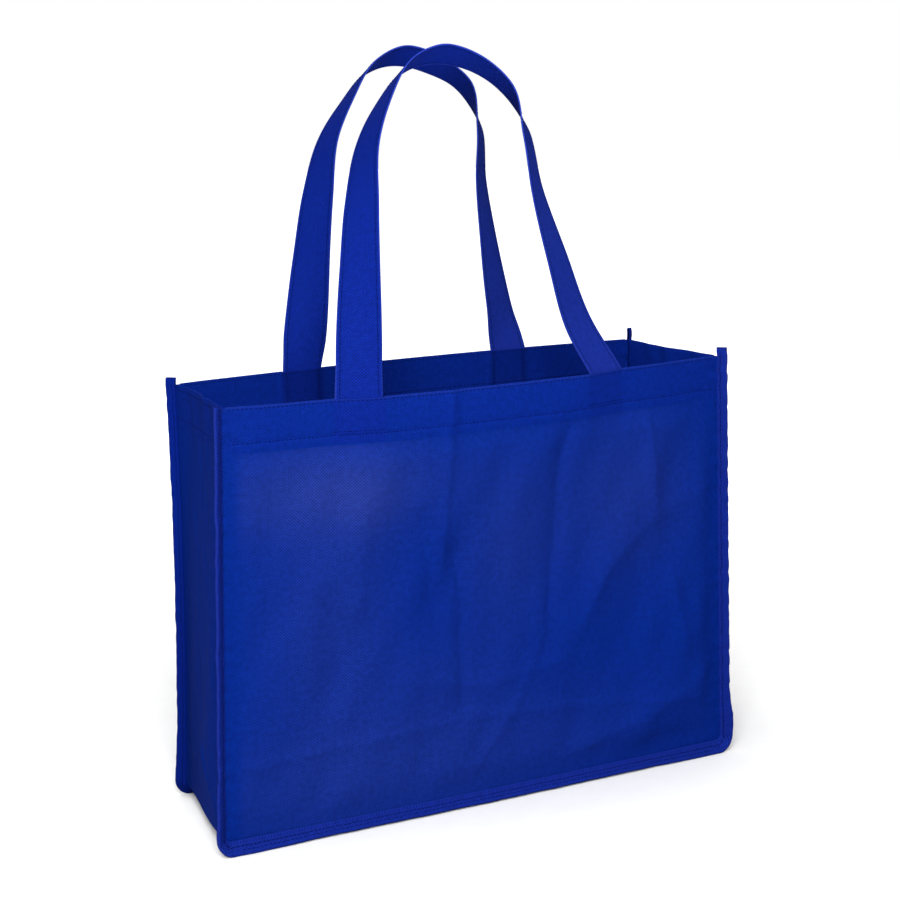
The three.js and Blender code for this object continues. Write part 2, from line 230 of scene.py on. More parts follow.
def ripple(u, v, made):
    return sum(size * np.sin(ku * u + kv * v + p) for ku, kv, p, size in made)


FRONT_WAVES = waves(3, 6, 95, 22, 0.6)
BACK_WAVES = waves(8, 6, 110, 25, 0.7)
SIDE_WAVES = waves(5, 5, 70, 18, 0.8)
FIN_WAVES = waves(11, 5, 60, 11, 0.0)
PUCKERS = waves(17, 4, 17, 8, 0.0)
print("the shortest ripple is", round(2 * math.pi / PUCKERS[-1][0], 1), "mm long")

# %% [markdown]
# ## The shape of the walls
#
# A real wall of the bag is a flat cloth that bows, creases and is drawn in by its stitches.
# Each of these is one small change to y, added one after the other. A change to the front
# must not reach the back, so each has a weight that fades between the two walls, and most
# also fade close to the seams, where the cloth is held.

# %%
HALF, DEEP = WIDTH / 2, DEPTH / 2
SEAM_CALM = 24.0
FOOT_BULGE, PANEL_RISE, HEM_STEP, STITCH_PULL = 5.0, 1.6, 0.3, 0.35
FRONT_RIPPLE, BACK_RIPPLE, SEAM_PUCKER = 0.8, 0.6, 0.3


def belly(x):
    """1 in the middle of a wall and 0 at its seams."""
    return np.maximum(0, 1 - (x / HALF) ** 2)


def between_straps(x):
    left, right = (np.clip((x - strap_x) / STRAP_WIDTH + 0.5, 0, 1) for strap_x in STRAP_X[-1])
    return left * (1 - right)


def bowed(x, y, z, front, back):
    rise = smooth(z, 0, HEIGHT * 0.8)
    rim = smooth(z, HEIGHT * 0.55, HEIGHT)
    y = y - front * (FRONT_BOW * belly(x) * rise + HANDLE_PULL * between_straps(x) * rim)
    return y + back * BACK_BOW * belly(x) * rise


def creased(x, y, z, front, inside):
    for fold in UPRIGHT_FOLDS:
        y = y - front * inside * fold_height(x, z, *fold)
    for fold in LEVEL_FOLDS:
        y = y - front * inside * fold_height(z, x, *fold)
    # The lower right of the front bulges over its seam, and the panel rises from under the hem
    low_right = smooth(z, 0, 42) * (1 - smooth(z, 60, 190)) * smooth(x, 60, 170)
    y = y - front * inside * FOOT_BULGE * low_right
    return y - front * inside * PANEL_RISE * (1 - smooth(z, HEM_FOOT - 16, HEM_FOOT - 1))


def stitched(x, y, z, side, walls, inside):
    """The doubled hem stands proud, its stitches pull it in, and puckers run into the seams."""
    hem_line = walls * inside
    y = y + side * hem_line * HEM_STEP * smooth(z, HEM_FOOT - 1.5, HEM_FOOT)
    tight = STITCH_PULL * np.exp(-((z - HEIGHT + HEM_ROW) / 1.6) ** 2)
    y = y - side * hem_line * tight * (1 + 0.5 * ripple(x, 0 * z, PUCKERS))
    near_seam = np.exp(-np.maximum(HALF - np.abs(x), 0) / 9.0) * smooth(z, 0, 12)
    return y + side * walls * SEAM_PUCKER * near_seam * ripple(z, 0 * x, PUCKERS)


def rippled(x, y, z, front, back, inside):
    calm = 1 - 0.7 * smooth(z, HEM_FOOT - 20, HEM_FOOT)
    made = front * FRONT_RIPPLE * ripple(x, z, FRONT_WAVES) + back * BACK_RIPPLE * ripple(x, z, BACK_WAVES)
    return y + inside * calm * made


# %% [markdown]
# ## The shape of the sides
#
# The two sides were folded inward for storage: one crease runs down the middle, and two run
# from it to the bottom corners. A side sinks in at the top and bulges a little further down.

# %%
STORAGE_CREASE = DEPTH / 2
MIDDLE_CREASE, CORNER_CREASE, SIDE_RIPPLE = 1.1, 1.8, 0.5


def side_hollow(x, y, z):
    """How far a side sinks in; minus is a bulge."""
    upper = smooth(z, HEIGHT * 0.45, HEIGHT)
    hollow = SIDE_HOLLOW * upper - SIDE_BULGE * smooth(z, 0, 40) * (1 - upper)
    hollow = hollow - SIDE_RIPPLE * ripple(y + np.sign(x) * 40, z, SIDE_WAVES) * smooth(z, 0, 30)
    hollow = hollow + MIDDLE_CREASE * np.exp(-np.abs(y) / 5) * smooth(z, 40, 80)
    to_corner = np.abs(y) - DEEP * (1 - z / STORAGE_CREASE)
    near_foot = smooth(z, 4, 16) * (1 - smooth(z, 48, 60))
    hollow = hollow - CORNER_CREASE * np.exp(-np.abs(to_corner) / 5) * near_foot
    return hollow * smooth(np.abs(x), HALF - 30, HALF) * np.maximum(0, 1 - (y / DEEP) ** 2)


def narrowed(x, to_back, high):
    """The back is narrower than the front at the top, and the front spreads at its foot."""
    taper = BACK_FOOT_TAPER + (BACK_TOP_TAPER - BACK_FOOT_TAPER) * high
    taper = taper + BACK_EDGE_HOLLOW * 4 * high * np.maximum(0, 1 - high)
    spread = FRONT_FOOT_SPREAD * (1 - high) * (1 - to_back)
    return (x / HALF) * (spread - taper * to_back - FRONT_TOP_TAPER * high * (1 - to_back))


# %% [markdown]
# ## The shape of the seams
#
# The fins lie outside the true box: past_x is how far a point is past the side seams, past_z
# how far it is below the bottom ones. The fins spread at the bottom corners, their free edge
# wanders, one flares out at the bottom right, and their stitches draw them in unevenly.

# %%
FIN_SWAY, FIN_FLARE, FIN_PUCKER = 0.03, 0.35, 0.16


def spread_fins(x, y, z):
    """How far the bag's weight pushes its foot out, and how much the fins spread there."""
    low = (1 - smooth(z, 0, 30)) * smooth(np.abs(x), HALF - 14, HALF)
    bulge = CORNER_BULGE * np.maximum(0, 1 - (y / DEEP) ** 2) * low * math.sqrt(0.5)
    spread = FIN_SPREAD * smooth(np.abs(x), HALF * 0.55, HALF) * (1 - smooth(z, 0, 45))
    past_x, past_y = np.maximum(np.abs(x) - HALF, 0), np.maximum(np.abs(y) - DEEP, 0)
    return np.stack([np.sign(x) * (bulge + spread * past_x),
                     np.sign(y) * spread * past_y,
                     -bulge - spread * np.maximum(-z, 0)], -1)


def wavy_fins(x, y, z):
    past_x, past_z = np.maximum(np.abs(x) - HALF, 0), np.maximum(-z, 0)
    past_y = np.maximum(np.abs(y) - DEEP, 0)
    bottom = past_z > past_x
    along = np.where(bottom, x, z)
    sway = FIN_SWAY * ripple(along, 0 * z, FIN_WAVES)
    flare = FIN_FLARE * np.exp(-((z - 18) / 14) ** 2) * ((x > 0) & (y < 0))
    reach = np.maximum(past_x, past_z)
    pucker = FIN_PUCKER * ripple(along, 0 * z, PUCKERS) * np.minimum(reach, 1)
    pucker = pucker * np.exp(-((reach - FIRST_ROW / math.sqrt(2)) / 2) ** 2)
    return np.stack([np.sign(x) * (past_x * (sway + flare) + pucker * ~bottom),
                     np.sign(y) * (pucker * np.where(bottom, 1, -1) - past_y * sway),
                     pucker * bottom], -1)


# %% [markdown]
# ## One shape for all layers
#
# settle() puts these changes together. Every layer, thread and strap end goes through it.

# %%
def settle(p):
    """Moves points of the true box to where the stood-up cloth has them."""
    x, y, z = p[..., 0], p[..., 1], p[..., 2]
    high = np.clip(z / HEIGHT, 0, 1.1)
    to_back = smooth(y, -DEEP, DEEP)
    front, back = smooth(-y, 0, DEEP - 8), smooth(y, 0, DEEP - 8)
    inside = smooth(HALF - np.abs(x), 0, SEAM_CALM) * smooth(z, 0, SEAM_CALM)
    new_y = bowed(x, y, z, front, back)
    new_y = creased(x, new_y, z, front, inside)
    new_y = stitched(x, new_y, z, np.sign(y), front + back, inside)
    new_y = rippled(x, new_y, z, front, back, inside)
    new_y = new_y + FRONT_FOOT_SETBACK * (1 - high) * (1 - to_back) * (1 - belly(x))
    new_x = x - np.sign(x) * side_hollow(x, y, z) + narrowed(x, to_back, high)
    rim = smooth(z, HEIGHT * 0.55, HEIGHT)
    new_z = z + belly(x) * rim * (BACK_RISE * back - TOP_SAG * front) + END_RISE * high * (x / HALF)
    return np.stack([new_x, new_y, new_z], -1) + spread_fins(x, y, z) + wavy_fins(x, y, z)


corner = settle(np.array([-HALF, -DEEP, HEIGHT]))
print("the front left top corner settles at", np.round(corner, 1))

# %% [markdown]
# ## A sheet from a grid
#
# A grid of middle points becomes one closed sheet: the grid is offset to both sides by half
# the cloth's thickness, and its free edges are closed with a rim. A Solidify modifier could
# do this too, but here the offset stays even where the cloth is folded flat on itself.
#
# The cloth coordinates, in metres along the flat cloth, are kept as the texture map, so the
# bonding pattern has its true size and follows each fold. Marks are numbers kept at each
# point, which the materials read: how many plies lie there, how far they are pressed
# together and darkened with painted shade, and how much painted sheen and painted
# highlight lighten them.

# %%
TO_METRES = 0.001


def object_from(name, points, faces, material, uv=None, marks=None, sharp=50):
    used, inverse = np.unique(faces, return_inverse=True)
    faces = inverse.reshape(faces.shape)
    mesh = bpy.data.meshes.new(name)
    mesh.from_pydata(((points[used] + TO_PART) * TO_METRES).tolist(), [], faces.tolist())
    mesh.polygons.foreach_set("use_smooth", np.ones(len(mesh.polygons), dtype=bool))
    mesh.set_sharp_from_angle(angle=math.radians(sharp))
    if uv is not None:
        corners = np.empty(len(mesh.loops), dtype=np.int32)
        mesh.loops.foreach_get("vertex_index", corners)
        layer = mesh.uv_layers.new(name="cloth")
        layer.data.foreach_set("uv", (uv[used][corners] * TO_METRES).astype(np.float32).ravel())
    for mark, values in (marks or {}).items():
        data = mesh.attributes.new(mark, "FLOAT", "POINT").data
        data.foreach_set("value", values[used].astype(np.float32))
    mesh.materials.append(material)
    obj = bpy.data.objects.new(name, mesh)
    scene.collection.objects.link(obj)
    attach(obj, "root")
    return obj


# %%
def grid_normals(middle, keep):
    a, b, c, d = middle[:-1, :-1], middle[1:, :-1], middle[1:, 1:], middle[:-1, 1:]
    n = np.cross(c - a, d - b)
    n = n / np.maximum(np.linalg.norm(n, axis=-1, keepdims=True), 1e-9) * keep[..., None]
    rows, columns = middle.shape[:2]
    normal = np.zeros_like(middle)
    for i, j in ((0, 0), (1, 0), (1, 1), (0, 1)):
        normal[i:rows - 1 + i, j:columns - 1 + j] += n
    return normal / np.maximum(np.linalg.norm(normal, axis=-1, keepdims=True), 1e-9)


def free_edges(loops, count):
    """The edges of the quads that no neighbour shares, in the direction of their quad."""
    edges = np.concatenate([loops[:, [k, (k + 1) % 4]] for k in range(4)])
    there = edges[:, 0] * count + edges[:, 1]
    back = edges[:, 1] * count + edges[:, 0]
    return edges[~np.isin(there, back)]


def sheet(name, middle, uv, marks, material, keep=None):
    """A closed sheet round a grid of middle points; keep says which of its cells are cloth."""
    rows, columns = middle.shape[:2]
    if keep is None:
        keep = np.ones((rows - 1, columns - 1), dtype=bool)
    normal = grid_normals(middle, keep)
    count = rows * columns
    index = np.arange(count).reshape(rows, columns)
    loops = np.stack([index[:-1, :-1], index[1:, :-1], index[1:, 1:], index[:-1, 1:]], -1)[keep]
    rim = free_edges(loops, count)
    rim = np.stack([rim[:, 0], rim[:, 0] + count, rim[:, 1] + count, rim[:, 1]], -1)
    points = np.concatenate([(middle + normal * side * CLOTH).reshape(-1, 3) for side in (0.5, -0.5)])
    faces = np.concatenate([loops, count + loops[:, ::-1], rim])
    marks = {mark: np.concatenate([values.ravel()] * 2) for mark, values in marks.items()}
    return object_from(name, points, faces, material, np.concatenate([uv.reshape(-1, 2)] * 2), marks)


# %% [markdown]
# ## Nodes
#
# Two helpers keep the materials short. group_of() starts a node group with named inputs and
# outputs, and node() adds one node and fills or links its inputs. An input is named by its
# title, or by i and its number.

# %%
def group_of(name, inputs, outputs):
    tree = bpy.data.node_groups.new(name, "ShaderNodeTree")
    for title, kind, value in inputs:
        socket = tree.interface.new_socket(title, in_out="INPUT", socket_type=kind)
        if value is not None:
            socket.default_value = value
    for title, kind in outputs:
        tree.interface.new_socket(title, in_out="OUTPUT", socket_type=kind)
    return tree


def node(tree, kind, settings=None, **values):
    made = tree.nodes.new(kind)
    for key, value in (settings or {}).items():
        setattr(made, key, value)
    for key, value in values.items():
        numbered = key[0] == "i" and key[1:].isdigit()
        socket = made.inputs[int(key[1:]) if numbered else key.replace("_", " ")]
        if isinstance(value, bpy.types.NodeSocket):
            tree.links.new(value, socket)
        else:
            socket.default_value = value
    return made


def maths(tree, operation, first, second=0.0):
    return node(tree, "ShaderNodeMath", {"operation": operation}, i0=first, i1=second).outputs[0]


# %% [markdown]
# ## The spunbond web
#
# Spunbond cloth is a web of fine fibres, welded together at small spots in staggered rows.
# Up close it shows three things: the rows of spots, a cloudy unevenness where the web is
# thicker or thinner, and the fibres themselves. The product of two sine waves, one along
# each axis of the cloth, is high in every second cell of a chessboard, which gives the
# staggered rows. All three cloths of the bag share this node group.

# %%
SPOT_PITCH = 0.0022


def spunbond_web():
    tree = group_of("spunbond web",
                    [("Cloth", "NodeSocketVector", None), ("Pitch", "NodeSocketFloat", SPOT_PITCH)],
                    [("Spots", "NodeSocketFloat"), ("Cloud", "NodeSocketFloat"), ("Fibres", "NodeSocketFloat")])
    given = node(tree, "NodeGroupInput")
    result = node(tree, "NodeGroupOutput")
    cloth, pitch = given.outputs["Cloth"], given.outputs["Pitch"]
    axes = node(tree, "ShaderNodeSeparateXYZ", i0=cloth)
    across, along = (maths(tree, "SINE", maths(tree, "MULTIPLY", maths(tree, "DIVIDE", axis, pitch), 2 * math.pi))
                     for axis in axes.outputs[:2])
    spots = node(tree, "ShaderNodeMapRange", {"interpolation_type": "SMOOTHSTEP"},
                 i0=maths(tree, "MULTIPLY", across, along), i1=0.05, i2=0.6)
    cloud = node(tree, "ShaderNodeTexNoise", Vector=cloth, Scale=260.0, Detail=5.0, Roughness=0.65)
    fibres = node(tree, "ShaderNodeTexNoise", Vector=cloth, Scale=2200.0, Detail=2.0, Distortion=1.5)
    for title, source in (("Spots", spots), ("Cloud", cloud), ("Fibres", fibres)):
        tree.links.new(source.outputs[0], result.inputs[title])
    return tree


WEB = spunbond_web()
print("node group:", WEB.name, "with", len(WEB.nodes), "nodes")

# %% [markdown]
# ## The cloth
#
# The colour starts from the number of plies, because light shines a little through a single
# layer. A paler colour with a trace of grey is mixed in as painted sheen and painted
# highlight. The web then makes the colour uneven, and the welded spots are darker. The
# pressed places are darker too, which is partly painted shade in seam roots, stitch lines
# and hollows. Spunbond has almost no gloss, so the specular level is very low, and the
# fibres and spots are also a faint bump.

# %%
def spunbond(name, thin, thick, sheen_colour):
    """thin is the colour of one layer, thick of many, and the last one the paler tone of painted sheen and painted
    highlight.
    """
    material = bpy.data.materials.new(name)
    material.use_nodes = True
    tree = material.node_tree
    shader = tree.nodes["Principled BSDF"]
    shader.inputs["Specular IOR Level"].default_value = 0.01
    cloth = node(tree, "ShaderNodeUVMap", {"uv_map": "cloth"})
    web = node(tree, "ShaderNodeGroup", {"node_tree": WEB}, Cloth=cloth.outputs[0])
    plies, press_and_shade, painted_sheen = (node(tree, "ShaderNodeAttribute", {"attribute_name": mark}).outputs["Fac"]
                              for mark in ("plies", "press_and_shade", "painted_sheen"))
    share = node(tree, "ShaderNodeMapRange", i0=plies, i1=1.0, i2=4.0)
    base = node(tree, "ShaderNodeMix", {"data_type": "RGBA"}, i0=share.outputs[0], i6=thin, i7=thick)
    uneven = node(tree, "ShaderNodeMapRange", i0=web.outputs["Cloud"], i1=0.3, i2=0.7, i3=0.84, i4=1.16)
    grain = node(tree, "ShaderNodeMapRange", i0=web.outputs["Spots"], i3=1.12, i4=0.6)
    # Pressed places are darkened, partly as painted shade in seam roots, stitch lines and hollows.
    press_shade_tone = node(tree, "ShaderNodeMapRange", i0=press_and_shade, i3=1.0, i4=0.45)
    shade = maths(tree, "MULTIPLY", maths(tree, "MULTIPLY", uneven.outputs[0], grain.outputs[0]), press_shade_tone.outputs[0])
    # The paler colour is mixed in as painted sheen and painted highlight.
    pale_sheen = node(tree, "ShaderNodeMix", {"data_type": "RGBA"}, i0=painted_sheen, i6=base.outputs[2], i7=sheen_colour)
    final = node(tree, "ShaderNodeMix", {"data_type": "RGBA", "blend_type": "MULTIPLY"},
                 i0=1.0, i6=pale_sheen.outputs[2], i7=shade)
    tree.links.new(final.outputs[2], shader.inputs["Base Color"])
    rough = node(tree, "ShaderNodeMapRange", i0=web.outputs["Spots"], i3=0.82, i4=0.6)
    tree.links.new(rough.outputs[0], shader.inputs["Roughness"])
    height = maths(tree, "SUBTRACT", web.outputs["Fibres"], web.outputs["Spots"])
    bump = node(tree, "ShaderNodeBump", Strength=0.55, Distance=0.00012, Height=height)
    tree.links.new(bump.outputs[0], shader.inputs["Normal"])
    return material


# %%
CLOTH_BLUE = spunbond("bag_cloth", thin=(0.0012, 0.0135, 0.160, 1), thick=(0.0020, 0.0104, 0.152, 1),
                      sheen_colour=(0.0125, 0.0255, 0.172, 1))
TAPE_BLUE = spunbond("seam_tape", thin=(0.0014, 0.0108, 0.152, 1), thick=(0.0014, 0.0100, 0.148, 1),
                     sheen_colour=(0.014, 0.026, 0.20, 1))
STRAP_BLUE = spunbond("strap_cloth", thin=(0.0022, 0.0108, 0.148, 1), thick=(0.0020, 0.0100, 0.142, 1),
                      sheen_colour=(0.016, 0.030, 0.22, 1))
print("cloths:", CLOTH_BLUE.name, TAPE_BLUE.name, STRAP_BLUE.name)

# %% [markdown]
# ## The thread
#
# The thread is a darker blue than the cloth. A fine diagonal wave stands for its twisted
# strands.

# %%
def twisted_thread():
    material = bpy.data.materials.new("sewing_thread")
    material.use_nodes = True
    tree = material.node_tree
    shader = tree.nodes["Principled BSDF"]
    shader.inputs["Roughness"].default_value = 0.8
    shader.inputs["Specular IOR Level"].default_value = 0.03
    place = node(tree, "ShaderNodeTexCoord")
    strands = node(tree, "ShaderNodeTexWave", {"bands_direction": "DIAGONAL"}, Vector=place.outputs["Object"],
                   Scale=900.0, Distortion=1.0)
    tone = node(tree, "ShaderNodeMix", {"data_type": "RGBA"}, i0=strands.outputs[1],
                i6=(0.0004, 0.0032, 0.055, 1), i7=(0.0007, 0.0062, 0.092, 1))
    tree.links.new(tone.outputs[2], shader.inputs["Base Color"])
    bump = node(tree, "ShaderNodeBump", Strength=0.4, Distance=0.00008, Height=strands.outputs[1])
    tree.links.new(bump.outputs[0], shader.inputs["Normal"])
    return material


THREAD = twisted_thread()
print("thread:", THREAD.name)

# %% [markdown]
# ## The cut of a panel
#
# Each panel is one piece of cloth. Its sides and bottom turn outward at 45 degrees into the
# seam. The grid lines close to the edge lie on rings round the panel, so that they also turn
# round the rounded bottom corners. RING holds their distances from the flat middle.

# %%
RING = np.concatenate([np.linspace(0, BEND, 6), BEND + FLANGE * np.array([0.1, 0.3, 0.5, 0.75, 1.0])])


def deeper(out_z):
    """How much further a fin reaches than on the sides, by how far it points down."""
    return (BOTTOM_FIN - SIDE_FIN) * out_z * out_z


def panel_points(a, b, facing):
    """Points of a panel's middle surface, from the grid lines across (a) and up (b)."""
    past_a, past_b = np.maximum(np.abs(a) - INNER_X, 0), np.maximum(INNER_Z - b, 0)
    far = np.maximum(past_a, past_b)
    i, j = (np.abs(past[..., None] - RING).argmin(-1) for past in (past_a, past_b))
    last = np.maximum(np.maximum(i, j), 1)
    turned = np.where(i == last, j, 2 * last - i) / (2 * last)
    in_corner = (past_a > 0) & (past_b > 0)
    angle = np.where(in_corner, turned, np.where(past_b > 0, 1.0, 0.0)) * math.pi / 2
    out_x, out_z = np.cos(angle) * np.sign(a + 1e-9), -np.sin(angle)
    flat = np.minimum(far, BEND)
    lap = np.maximum(far - BEND, 0) * (1 + deeper(out_z) / FLANGE) / math.sqrt(2)
    x = np.clip(a, -INNER_X, INNER_X) + out_x * (flat + lap)
    z = np.maximum(b, INNER_Z) + out_z * (flat + lap)
    return np.stack([x, facing * (DEEP + lap), z], -1)


print("a panel turns into the seam over", len(RING) - 1, "rings of cells")

# %% [markdown]
# ## The hem
#
# The top of a panel is turned in and sewn down. The turned-in layer goes over the sewn ends
# of the straps, which come out through a slit in the fold.

# %%
FOLD_STEPS = 6
SLIT_EDGE = 0.95


def hem_fold():
    """(height, distance inward) of the turned-in layer, from the fold down to its foot."""
    angles = np.linspace(0, math.pi, FOLD_STEPS + 2)[1:-1]
    fold = [(HEM_TURN + PLY_OFFSET * math.sin(t), PLY_OFFSET * (1 - math.cos(t))) for t in angles]
    return fold + [(z, 2 * PLY_OFFSET) for z in np.linspace(HEM_TURN, HEM_FOOT, 14)]


def over_straps(x, facing):
    """1 over the sewn end of a strap, falling to 0 just beside it."""
    half = STRAP_WIDTH / 2
    return sum(1 - smooth(np.abs(x - strap_x), half + 0.5, half + 3.5) for strap_x in STRAP_X[facing])


def panel_hem(a, facing):
    x = np.clip(a, -HALF + HEM_END, HALF - HEM_END)
    room = STRAP_ROOM * over_straps(x, facing)
    rows = [np.stack([x, facing * (DEEP - inward - room * inward / (2 * PLY_OFFSET)), 0 * x + z], -1)
            for z, inward in hem_fold()]
    return np.stack(rows)


print("a hem has", len(hem_fold()), "rows of points")

# %% [markdown]
# ## Painted sheen and painted shade
#
# Soft pale patches on the outer faces are painted sheen, where light glances off the cloth.
# The patches are written as their middle (x, z), half width, half height and strength. The
# hem's fold gets a thin painted highlight. Stitches press the layers together, most of all
# along the strap ends; the darkening there, at the foot of the seam roots and on the
# turned-in hem inside the back is partly painted shade.

# %%
SHEEN_PATCHES = [(-125, 246, 78, 30, 0.62), (-100, 232, 22, 26, 0.2), (112, 215, 62, 62, 0.36),
                (-125, 150, 50, 110, 0.33), (10, 190, 40, 70, 0.3), (-60, 30, 170, 44, 0.33),
                (-40, 90, 60, 40, 0.15)]
EDGE_ROW = 3.0


def sheen_patches(x, z):
    total = 0 * x
    for mid_x, mid_z, half_x, half_z, strength in SHEEN_PATCHES:
        total = total + strength * np.exp(-((x - mid_x) / half_x) ** 2 - ((z - mid_z) / half_z) ** 2)
    return total * (z < HEM_FOOT) * smooth(HALF - np.abs(x), 6, 16)


def panel_marks(points, length, facing):
    x, y, z = points[..., 0], points[..., 1], points[..., 2]
    doubled = z > HEM_FOOT + 0.1
    turned_in = facing * y < DEEP - PLY_OFFSET
    plies = 1.0 + doubled + 2.0 * (np.abs(y) > DEEP + 0.5)
    # Painted shade along the seam roots, where the panel bends into the fin.
    root = np.exp(-(np.maximum(np.abs(y) - DEEP, 0) / 1.2) ** 2)
    root = root * np.exp(-np.minimum(np.maximum(HALF - np.abs(x), 0), np.maximum(z, 0)) / 2.0)
    # Painted shade: the seam root at the foot and the turned-in hem inside the back are darker.
    press_and_shade = 0.35 * root * (z < 1.5) + 0.15 * (facing > 0) * (y < DEEP - PLY_OFFSET)
    for strap_x, layers in zip(STRAP_X[facing], (1.5, 0.5)):
        from_middle = np.abs(x - strap_x)
        over = from_middle < STRAP_WIDTH / 2 + 1
        edge_row = np.exp(-((from_middle - STRAP_WIDTH / 2 + EDGE_ROW) / 1.2) ** 2)
        plies = plies + layers * (doubled & over)
        # The inner hem over each strap end and along its stitch rows is darkened, partly as painted shade.
        press_and_shade = press_and_shade + turned_in * doubled * (0.3 * over + 0.5 * edge_row)
    # Painted highlight along the hem's fold, and painted sheen in soft patches on the outer faces.
    painted_sheen = 0.35 * np.exp(-((length[:, None] - HEM_TURN - 0.3) / 0.4) ** 2)
    painted_sheen = painted_sheen + sheen_patches(x, z) * (facing * y + 0.2 > DEEP)
    return {"plies": plies, "press_and_shade": np.minimum(press_and_shade, 1), "painted_sheen": np.clip(painted_sheen, 0, 1)}


# %% [markdown]
# ## Front and back panels
#
# The grid is finer where the cloth bends: in the seams and round the foot of the hem.

# %%
def panel(name, facing):
    a = np.concatenate([-INNER_X - RING[:0:-1], np.linspace(-INNER_X, INNER_X, 158), INNER_X + RING[1:]])
    b = np.concatenate([INNER_Z - RING[:0:-1], np.linspace(INNER_Z, HEM_FOOT - 1.8, 108),
                        [HEM_FOOT - 0.9], np.linspace(HEM_FOOT, HEM_FOOT + 10, 13),
                        np.linspace(HEM_FOOT + 12, HEM_TURN, 10)])
    points = np.concatenate([panel_points(*np.meshgrid(a, b), facing), panel_hem(a, facing)])
    length = np.concatenate([b, HEM_TURN + np.linspace(0.15, 1.0, FOLD_STEPS),
                             HEM_TURN + 1.2 + np.linspace(0, HEM_DEPTH - 0.5, 14)])
    uv = np.stack(np.meshgrid(a, length), -1)
    # The hem stops short of the seams, and the fold is slit over the straps
    cells = np.ones((len(points) - 1, len(a) - 1), dtype=bool)
    ends = len(RING) - 2
    cells[len(b) - 1:, :ends] = False
    cells[len(b) - 1:, -ends:] = False
    cover = over_straps(np.clip(a, -HALF + HEM_END, HALF - HEM_END), facing)
    slit = np.minimum(cover[1:], cover[:-1]) > SLIT_EDGE
    cells[len(b) - 1:len(b) + FOLD_STEPS, slit] = False
    obj = sheet(name, settle(points), uv, panel_marks(points, length, facing), CLOTH_BLUE, cells)
    return obj


front_cloth = panel("front_cloth", -1)
back_cloth = panel("back_cloth", 1)
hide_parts("front_panel")
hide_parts("back_panel")
print("panels:", len(front_cloth.data.polygons), "faces each")

# %% [markdown]
# ## The seam line
#
# One line goes down the left side, under the bag and up the right side. The strip, the tape
# and the stitches are all placed by their distance along it.

# %%
DOWN = HEIGHT - INNER_Z
TURN = CORNER_RADIUS * math.pi / 2
ACROSS = 2 * INNER_X
SEAM_LENGTH = 2 * DOWN + 2 * TURN + ACROSS
SEAM_STEP = 3.0


def seam(s):
    """The seam's place (x, z) and outward direction at distance s from the top of the left side."""
    s = np.asarray(s, dtype=float)
    mirrored = s > SEAM_LENGTH / 2
    t = np.where(mirrored, SEAM_LENGTH - s, s)
    angle = np.clip((t - DOWN) / TURN, 0, 1) * math.pi / 2
    x = -INNER_X - CORNER_RADIUS * np.cos(angle) + np.maximum(t - DOWN - TURN, 0)
    z = np.where(t < DOWN, HEIGHT - t, INNER_Z - CORNER_RADIUS * np.sin(angle))
    sign = np.where(mirrored, -1, 1)
    return x * sign, z, -np.cos(angle) * sign, -np.sin(angle)


def stations(start, end):
    """Distances along the seam, with short steps round the two bottom corners."""
    corner_steps = np.linspace(0, TURN, 9)[1:-1]
    left = np.linspace(start, DOWN, int((DOWN - start) / SEAM_STEP))
    middle = np.linspace(DOWN + TURN, DOWN + TURN + ACROSS, int(ACROSS / SEAM_STEP))
    right = np.linspace(SEAM_LENGTH - DOWN, end, int((end - SEAM_LENGTH + DOWN) / SEAM_STEP))
    return np.concatenate([left, DOWN + corner_steps, middle, DOWN + TURN + ACROSS + corner_steps, right])


print("a seam is", round(SEAM_LENGTH), "mm long")

# %% [markdown]
# ## Sides and bottom
#
# One strip of cloth runs down one side, under the bag and up the other, and is hemmed at
# both ends. Its bottom hangs between the two bottom seams and touches the table. Toward the
# back and the foot it is darker, as painted shade, and its seam roots carry painted shade too.

# %%
def side_hem(q, sign):
    y = np.clip(q, -DEEP + HEM_END, DEEP - HEM_END)
    return settle(np.stack([np.stack([0 * y + sign * (HALF - inward), y, 0 * y + z], -1)
                            for z, inward in hem_fold()]))


def strip_points(q, s, bend):
    x, z, out_x, out_z = (v[:, None] for v in seam(s))
    lap = np.maximum(np.abs(q) - bend, 0)[None] * (1 + deeper(out_z) / FLANGE) / math.sqrt(2)
    y = np.sign(q) * (np.minimum(np.abs(q), bend) + lap)
    points = settle(np.stack([x + out_x * lap, y, z + out_z * lap], -1))
    hang = 1 - smooth(np.abs(x), BASE_FLAT[0], INNER_X)
    hang = hang * (1 - smooth(np.abs(y), BASE_FLAT[1], DEEP - HEM_END))
    points[..., 2] += out_z * hang * (BASE_LIFT - CLOTH / 2)
    return points


